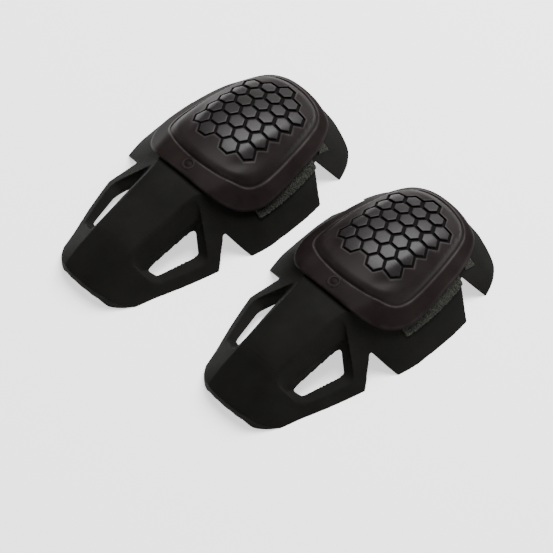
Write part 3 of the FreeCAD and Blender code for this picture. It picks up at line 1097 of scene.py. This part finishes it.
@dataclass
class Cap:
    """Rubber cap of one guard with its tiles and the foam inside its dome."""

    skin: CapSkin = field(default_factory=CapSkin)
    pitch: float = 13.5
    tilt: float = 12.7
    rows: tuple[tuple[int, float, int], ...] = (
        (-2, -2.5, 5), (-1, -3.0, 6), (0, -2.5, 6), (1, -3.0, 6), (2, -2.5, 5))
    front_half: float = 5.8
    rear_half: float = 5.05
    pocket_half: float = 7.1
    front_deep: float = 1.1
    rear_deep: float = 2.0
    tile_proud: float = 0.15
    tile_flat: tuple[float, float] = (0.30, 0.62)
    tile_edge: tuple[tuple[float, float], ...] = (
        (-0.75, 0.0), (-0.3, 0.03), (-0.08, 0.16), (0.04, 0.42))
    tile_flare: float = 0.2
    tile_steps: int = 6
    pocket_lip: tuple[float, float] = (0.3, 0.75)
    floor_edge: float = 0.32
    fade: tuple[float, float] = (-42.0, 36.0)
    core_inset: float = 5.4
    core_gap: float = 0.1

    def centres(self) -> Iterator[Point]:
        """Plan place of each tile."""
        along = self.pitch * math.cos(math.radians(self.tilt))
        for side, first, count in self.rows:
            for k in range(count):
                yield side * self.pitch * math.sqrt(3.0) / 2.0, (first + k) * along

    def hexagon(self, centre: Point, half: float, steps: int = 4) -> np.ndarray:
        """Six-sided loop with flats facing fore and aft.

        Args:
            centre: Plan place of the tile.
            half: Half of the distance across the flats.
            steps: Points along each side.

        Returns:
            The loop in plan, anticlockwise.
        """
        shrink = math.cos(math.radians(self.tilt))
        radius = half * 2.0 / math.sqrt(3.0)
        corners = np.array([(centre[0] + radius * math.cos(math.radians(60 * k)),
                             centre[1] + radius * shrink * math.sin(math.radians(60 * k)))
                            for k in range(6)])
        share = np.arange(steps)[:, None] / steps
        return np.vstack([a + (b - a) * share for a, b in zip(corners, np.roll(corners, -1, axis=0))])

    def rearward(self, y: np.ndarray | float) -> np.ndarray | float:
        """Share from the front tiles to the rear ones."""
        front, rear = self.fade
        return np.clip((np.asarray(y) - front) / (rear - front), 0.0, 1.0)

    def tile_half(self, y: float) -> float:
        """Half width of a tile, which narrows towards the thigh."""
        return self.front_half + (self.rear_half - self.front_half) * float(self.rearward(y))

    def deep(self, y: np.ndarray) -> np.ndarray:
        """Depth of the grooves round the tiles."""
        return self.front_deep + (self.rear_deep - self.front_deep) * self.rearward(y)

    def tile_reach(self, x: np.ndarray, y: np.ndarray) -> np.ndarray:
        """Six-sided distance of each place to its nearest tile's centre."""
        shrink = math.cos(math.radians(self.tilt))
        best = np.full(x.shape, 1e9)
        for cx, cy in self.centres():
            u, v = np.abs(x - cx), np.abs(y - cy) / shrink
            best = np.minimum(best, np.maximum(v, 0.5 * v + math.sqrt(3.0) / 2.0 * u))
        return best

    def face(self, x: np.ndarray, y: np.ndarray) -> np.ndarray:
        """Height of the cap with the tile field sunk into it."""
        reach = self.tile_reach(x, y)
        sunk = np.interp(reach, self.pocket_half + np.array((0.0, *self.pocket_lip)), [1.0, 0.12, 0.0])
        return self.skin.top(x, y) - sunk * self.deep(y)

    def shell(self) -> bpy.types.Object:
        """Dome and flange in one closed skin."""
        rim = self.skin.flange_loop()
        foot = self.skin.dome_loop()
        rim_loops = [inset(rim, d) for d in self.skin.rim_rings]
        loops = rim_loops + [inset(foot, d) for d in self.skin.bead_rings]
        rings = [self.hexagon(c, self.pocket_half + d)
                 for c in self.centres() for d in (0.0, *self.pocket_lip)]
        rings += [self.circle(self.skin.boss_place, r) for r in self.skin.boss_rings[1:]]
        plan, faces = sheet_mesh(loops, 1.7, rim, rings)
        top = np.column_stack((plan, self.face(plan[:, 0], plan[:, 1])))
        hollow = [inset(self.skin.dome_loop(3.0), self.skin.hollow_inset + d) for d in (0.0, 1.0)]
        plan, low_faces = sheet_mesh(rim_loops + hollow, 4.0, rim)
        low = np.column_stack((plan, self.skin.under(plan[:, 0], plan[:, 1])))
        return self.closed("cap_shell", top, faces, low, low_faces)

    def circle(self, centre: Point, radius: float) -> np.ndarray:
        """Round loop in plan."""
        turn = np.linspace(0.0, 2.0 * math.pi, 40, endpoint=False)
        return np.stack((centre[0] + radius * np.cos(turn), centre[1] + radius * np.sin(turn)), axis=1)

    def closed(self, name: str, top: np.ndarray, top_faces: list[list[int]],
               low: np.ndarray, low_faces: list[list[int]]) -> bpy.types.Object:
        """Joins an upper and a lower sheet along their shared rim."""
        shift = len(top)
        faces = self.facing(top, top_faces, 1.0) + [
            [shift + k for k in f] for f in self.facing(low, low_faces, -1.0)]
        thing = make_object(name, np.vstack((top, low)), faces)
        modify(thing, "WELD", merge_threshold=0.02 * MM)
        settle(thing)
        self.paint_groove_shade(thing)
        # Paints the highlight along the bead, the pocket lips, the rim and the boss ring.
        paint(thing, PAINTED_HIGHLIGHT, self.rubbed)
        paint(thing, MATTE, self.dulled)
        return shade(thing, 38.0)

    def rubbed(self, points: np.ndarray) -> np.ndarray:
        """Painted highlight of the shell, along the bead, the pockets' outer edges, the rim and the boss
        ring.
        """
        x, y = points[:, 0], points[:, 1]
        deep = depth_inside(self.skin.dome_loop(), x, y)
        bead = np.interp(deep, [-2.6, -1.9, -1.2], [0.0, 1.0, 0.0])
        reach = self.tile_reach(x, y)
        lip = np.interp(reach, self.pocket_half + np.array((*self.pocket_lip, 1.3)), [0.0, 0.8, 0.0])
        rim = depth_inside(self.skin.flange_loop(), x, y)
        turned = np.interp(rim, [0.3, 0.8, 1.8], [0.0, 0.3, 0.0])
        boss = np.hypot(x - self.skin.boss_place[0], y - self.skin.boss_place[1])
        ring = np.interp(boss, [3.2, 3.7, 4.7, 5.3], [0.0, 0.4, 0.4, 0.0])
        return np.maximum.reduce((bead, lip, turned, ring))

    def dulled(self, points: np.ndarray) -> np.ndarray:
        """Share of the flange's mould texture, which stops at the bead."""
        deep = depth_inside(self.skin.dome_loop(), points[:, 0], points[:, 1])
        return np.interp(deep, [-3.2, -1.9], [1.0, 0.0])

    def paint_groove_shade(self, thing: bpy.types.Object) -> None:
        """Gives the pocket floors the groove finish, painted shade, the second of the shell's two."""
        centre = vectors(thing.data.polygons, "center") / MM
        low = self.tile_reach(centre[:, 0], centre[:, 1]) < self.pocket_half + self.floor_edge
        chosen = low & (vectors(thing.data.polygons, "normal")[:, 2] > 0.0)
        thing.data.polygons.foreach_set("material_index", chosen.astype(np.int32))

    def facing(self, points: np.ndarray, faces: list[list[int]], up: float) -> list[list[int]]:
        """Turns every face of a sheet to look up or down."""
        out = []
        for face in faces:
            a, b, c = (points[k] for k in face[:3])
            turn = (b[0] - a[0]) * (c[1] - a[1]) - (b[1] - a[1]) * (c[0] - a[0])
            out.append(face if turn * up > 0.0 else face[::-1])
        return out

    def tiles(self) -> bpy.types.Object:
        """All grip tiles, each a closed block with a rounded top edge."""
        points, faces, shaded_walls = [], [], []
        for centre in self.centres():
            half = self.tile_half(centre[1])
            stages = [(half * share, 0.0) for share in self.tile_flat]
            stages += [(half + out, drop) for out, drop in self.tile_edge]
            stages.append((half + self.tile_flare, None))
            first = len(points)
            for reach, drop in stages:
                loop = self.hexagon(centre, reach, self.tile_steps)
                height = self.skin.smooth(loop[:, 0], loop[:, 1]) + self.tile_proud
                sink = self.deep(loop[:, 1]) + self.tile_proud + 0.15 if drop is None else drop
                points += list(np.column_stack((loop, height - sink)))
            count = 6 * self.tile_steps
            hub = len(points)
            at = np.array([centre[0]]), np.array([centre[1]])
            high = float(self.skin.smooth(*at)[0]) + self.tile_proud
            low = high - self.deep(at[1])[0] - 0.3
            points += [(centre[0], centre[1], high), (centre[0], centre[1], low)]
            for k in range(count):
                after = (k + 1) % count
                faces.append([first + k, first + after, hub])
                shaded_walls.append(0)
                last = first + (len(stages) - 1) * count
                faces.append([last + after, last + k, hub + 1])
                shaded_walls.append(1)
                for ring in range(len(stages) - 1):
                    a = first + ring * count
                    faces.append([a + k, a + count + k, a + count + after, a + after])
                    # Side faces of the last two rings, like the underside, take the groove finish, painted
                    # shade.
                    shaded_walls.append(int(ring >= len(stages) - 3))
        thing = make_object("grip_tiles", np.array(points), faces)
        thing.data.polygons.foreach_set("material_index", shaded_walls)
        return shade(thing, 50.0)

    def core(self) -> bpy.types.Object:
        """Shock foam that fills the hollow of the dome."""
        plan, faces = sheet_mesh([], 4.0, inset(self.skin.dome_loop(3.0), self.core_inset))
        x, y = plan[:, 0], plan[:, 1]
        low = self.skin.flange(x, y) - self.skin.flange_thick + self.core_gap
        high = np.maximum(self.skin.smooth(x, y) - self.skin.wall_thick - self.core_gap, low + 0.5)
        return shade(slab("dome_core", plan, self.facing(plan, faces, 1.0), low, high), 40.0)

    def pieces(self) -> Iterator[Piece]:
        """Gives the cap's pieces."""
        # The second finish is painted shade in the pocket floors and on the tile walls.
        yield Piece("cap_shell", self.shell(), Finish.CAP, second=Finish.GROOVE_SHADE)
        yield Piece("grip_tiles", self.tiles(), Finish.TILE, second=Finish.GROOVE_SHADE)
        yield Piece("dome_core", self.core(), Finish.CORE, fill=1.0)


@dataclass
class HookStrips:
    """Hook-and-loop strips on the foam under the cap's flange."""

    skin: ArchSkin
    cap: CapSkin = field(default_factory=CapSkin)
    side_size: tuple[float, float] = (10.2, 65.0)
    rear_size: tuple[float, float] = (10.2, 104.0)
    thick: float = 1.3
    step: float = 0.55
    tuft: float = 0.55
    tuft_range: tuple[float, float] = (-0.6, 1.0)
    ragged: float = 0.3
    edge_drop: float = 0.5
    glue: float = 0.05
    side_start: Point = (-52.0, 19.4)
    side_rise: float = 0.8
    rear_start: float = 22.4
    roof_gap: float = 0.5
    roof_reach: float = 1.0
    seed: int = 7

    def ribbon(self, name: str, path: Callable[[float, float, float], Triple],
               length: float, width: float) -> bpy.types.Object:
        """Closed tufted ribbon.

        Args:
            name: Name of the ribbon.
            path: Point for a distance along, a distance across and a lift.
            length: Length along the path.
            width: Width across it.

        Returns:
            The ribbon.
        """
        rng = np.random.default_rng(self.seed)
        along, across = int(length / self.step), int(width / self.step)
        points = []
        for lift in (self.thick, 0.0):
            for i in range(along + 1):
                for j in range(across + 1):
                    ragged = rng.uniform(-self.ragged, self.ragged, 3)
                    edge = min(i, along - i, j, across - j)
                    drop = self.edge_drop if edge == 0 else 0.0
                    tuft = rng.uniform(*self.tuft_range) * self.tuft - drop
                    top = lift > 0
                    u = i / along * length + ragged[0] * top
                    v = j / across * width + ragged[1] * top
                    points.append(path(u, v, lift + tuft * top))
        return blanket(name, points, along, across)

    def side(self, which: int) -> bpy.types.Object:
        """Strip along one side."""
        def path(u: float, v: float, lift: float) -> Triple:
            """Runs rearwards along the side facet."""
            start, height = self.side_start
            x, y, z = self.skin.surface_point(start + u, height + v * self.side_rise, lift + self.glue)
            return which * x, y, z
        return self.ribbon("hook_strip", path, self.side_size[1], self.side_size[0])

    def rear(self) -> bpy.types.Object:
        """Strip across the thigh wing."""
        def path(u: float, v: float, lift: float) -> Triple:
            """Runs across the wing from side to side."""
            reach = u - self.rear_size[1] / 2.0
            return self.skin.point_across(self.rear_start + v, reach, lift + self.glue)
        thing = self.ribbon("thigh_strip", path, self.rear_size[1], self.rear_size[0])
        self.press_under_flange(thing)
        return thing

    def press_under_flange(self, thing: bpy.types.Object) -> None:
        """Presses the pile down where the cap's flange lies over it."""
        coords = points_of(thing)
        x, y = coords[:, 0], coords[:, 1]
        roof = self.cap.flange(x, y) - self.cap.flange_thick - self.roof_gap
        under = depth_inside(self.cap.flange_loop(3.0), x, y) > -self.roof_reach
        coords[:, 2] = np.where(under, np.minimum(coords[:, 2], roof), coords[:, 2])
        thing.data.vertices.foreach_set("co", (coords * MM).ravel())

    def pieces(self) -> Iterator[Piece]:
        """Gives the three strips."""
        for side in (1, -1):
            yield Piece("hook_strip", self.side(side), Finish.PILE, mirror_side=side, flat=self.side_size)
        yield Piece("thigh_strip", self.rear(), Finish.PILE, "thigh", flat=self.rear_size)


@dataclass
class KneeLiner:
    """Soft knit layer inside the knee cup."""

    skin: ArchSkin
    depth: float = 9.55
    thick: float = 3.0
    front: float = -74.0
    rear: float = 9.0
    half_width: float = 40.0
    overlap: float = 0.2
    steps: tuple[int, int] = (18, 20)
    edge_round: float = 1.0

    def pieces(self) -> Iterator[Piece]:
        """Gives the liner as one crowned pad."""
        along, across = self.steps
        points = []
        for lift in (-self.depth, self.overlap - self.depth - self.thick):
            for i in range(along + 1):
                y = self.front + (self.rear - self.front) * i / along
                for j in range(across + 1):
                    reach = (2.0 * j / across - 1.0) * self.half_width
                    points.append(self.skin.point_across(y, reach, lift))
        thing = blanket("knee_liner", points, along, across)
        modify(thing, "BEVEL", width=self.edge_round * MM, segments=2, limit_method="ANGLE",
               angle_limit=math.radians(50.0))
        modify(thing, "SUBSURF", levels=2, render_levels=2)
        settle(thing)
        thing.data.shade_smooth()
        yield Piece("knee_liner", thing, Finish.LINER, fill=0.7)


@dataclass
class Guard:
    """One guard of the pair, placed from the frame."""

    name: str
    right_is_inner: bool

    def origin(self) -> Triple:
        """Shift from the guard's own axes to the pair's, in millimetres."""
        low, high = (np.array(c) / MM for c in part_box(f"{self.name}_cap_shell"))
        return float(low[0] + high[0]) / 2.0, float(low[1]) - CapSkin.flange_plan[0][1], 0.0

    def side_word(self, side: int) -> str:
        """Tells the inner side from the outer one."""
        return "inner" if (side > 0) == self.right_is_inner else "outer"

    def fit(self, piece: Piece) -> None:
        """Places a copy of a piece on this guard and, unless the piece has bend ends, ties it to its
        body's empty.
        """
        shift = self.origin()
        word = f"{self.side_word(piece.mirror_side)}_" if piece.mirror_side else ""
        node = f"{self.name}_{word}{piece.node}"
        thing = moved_copy(piece.thing, f"{node}_look", shift)
        for finish in filter(None, (piece.finish, piece.second)):
            thing.data.materials.append(finish.material)
        body = f"{self.name}_{piece.body}" + (f"_{word[:-1]}" if piece.body == "flap" else "")
        if piece.blend is None:
            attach(thing, body)
        else:
            start, end = (tuple((np.array(p) + shift) * MM) for p in piece.blend)
            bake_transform(thing)
            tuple(start)
            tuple(end)
        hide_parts(node)
        if piece.flat is not None:
            tuple(f * MM for f in piece.flat)
        LOG.info("%s: %d faces", thing.name, len(thing.data.polygons))

    def dress_neck(self) -> None:
        """Gives the riser under the cap its rubber."""
        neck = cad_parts[f"{self.name}_cap_neck"]
        neck.data.materials.clear()
        neck.data.materials.append(Finish.CAP.material)


@dataclass(frozen=True)
class Studio:
    """Pale floor, soft lights and the camera."""

    azimuth: float = 45.0
    elevation: float = 54.4
    distance: float = 3.049
    aim: Triple = (0.0068, 0.0022, -0.0205)
    lens: float = 260.0
    table_glow: float = 1.05
    table_half: float = 6000.0
    surround: float = 0.30
    lamps: tuple[tuple[str, Triple, float, float], ...] = (
        ("back_soft", (0.10, 1.35, 1.5), 1.1, 55.0),
        ("top_soft", (-0.24, 0.60, 2.0), 1.0, 54.0),
    )

    def floor(self) -> None:
        """Lays a wide pale light table."""
        corners = [(x * self.table_half, y * self.table_half, 0.0) for x, y in
                   ((-1, -1), (1, -1), (1, 1), (-1, 1))]
        floor = make_object("floor", np.array(corners), [[0, 1, 2, 3]])
        shader = Shader("light_table")
        shader.set(Base_Color=(0.93, 0.93, 0.93, 1.0), Roughness=0.9, Specular_IOR_Level=0.1,
                   Emission_Color=(1.0, 1.0, 1.0, 1.0), Emission_Strength=self.table_glow)
        floor.data.materials.append(shader.material)

    def light(self, name: str, place: Sequence[float], size: float, power: float) -> None:
        """Hangs one square soft light that faces the guards."""
        lamp = bpy.data.lights.new(name, "AREA")
        lamp.shape = "SQUARE"
        lamp.size = size
        lamp.energy = power
        holder = put(name, lamp)
        holder.location = place
        holder.rotation_euler = (-Vector(place)).to_track_quat("-Z", "Y").to_euler()

    def lights(self) -> None:
        """Sets the lights and an even pale surround."""
        world = bpy.data.worlds.new("studio")
        world.use_nodes = True
        set_inputs(world.node_tree.nodes["Background"], Color=(1.0, 1.0, 1.0, 1.0), Strength=self.surround)
        bpy.context.scene.world = world
        for lamp in self.lamps:
            self.light(*lamp)

    def camera(self) -> None:
        """Sets the camera."""
        turn, rise = math.radians(self.azimuth), math.radians(self.elevation)
        back = Vector((math.sin(turn) * math.cos(rise), -math.cos(turn) * math.cos(rise), math.sin(rise)))
        lens = bpy.data.cameras.new("camera")
        lens.lens = self.lens
        lens.sensor_width = 36.0
        lens.clip_end = 50.0
        holder = put("camera", lens)
        holder.location = Vector(self.aim) + back * self.distance
        holder.rotation_mode = "QUATERNION"
        holder.rotation_quaternion = (-back).to_track_quat("-Z", "Y")
        bpy.context.scene.camera = holder

    def set_up(self) -> None:
        """Builds the whole studio."""
        self.camera()
        self.floor()
        self.lights()


def main() -> None:
    """Builds the pair piece by piece."""
    logging.basicConfig(level=logging.INFO, format="%(message)s")
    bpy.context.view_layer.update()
    Studio().set_up()
    foam = FoamMoulding()
    makers = (foam, Cap(), HookStrips(foam.skin), KneeLiner(foam.skin))
    guards = (Guard("left", True), Guard("right", False))
    patterns = []
    for maker in makers:
        for piece in maker.pieces():
            for guard in guards:
                guard.fit(piece)
            patterns.append(piece.thing)
    discard(patterns)
    for guard in guards:
        guard.dress_neck()


if __name__ == "__main__":
    main()
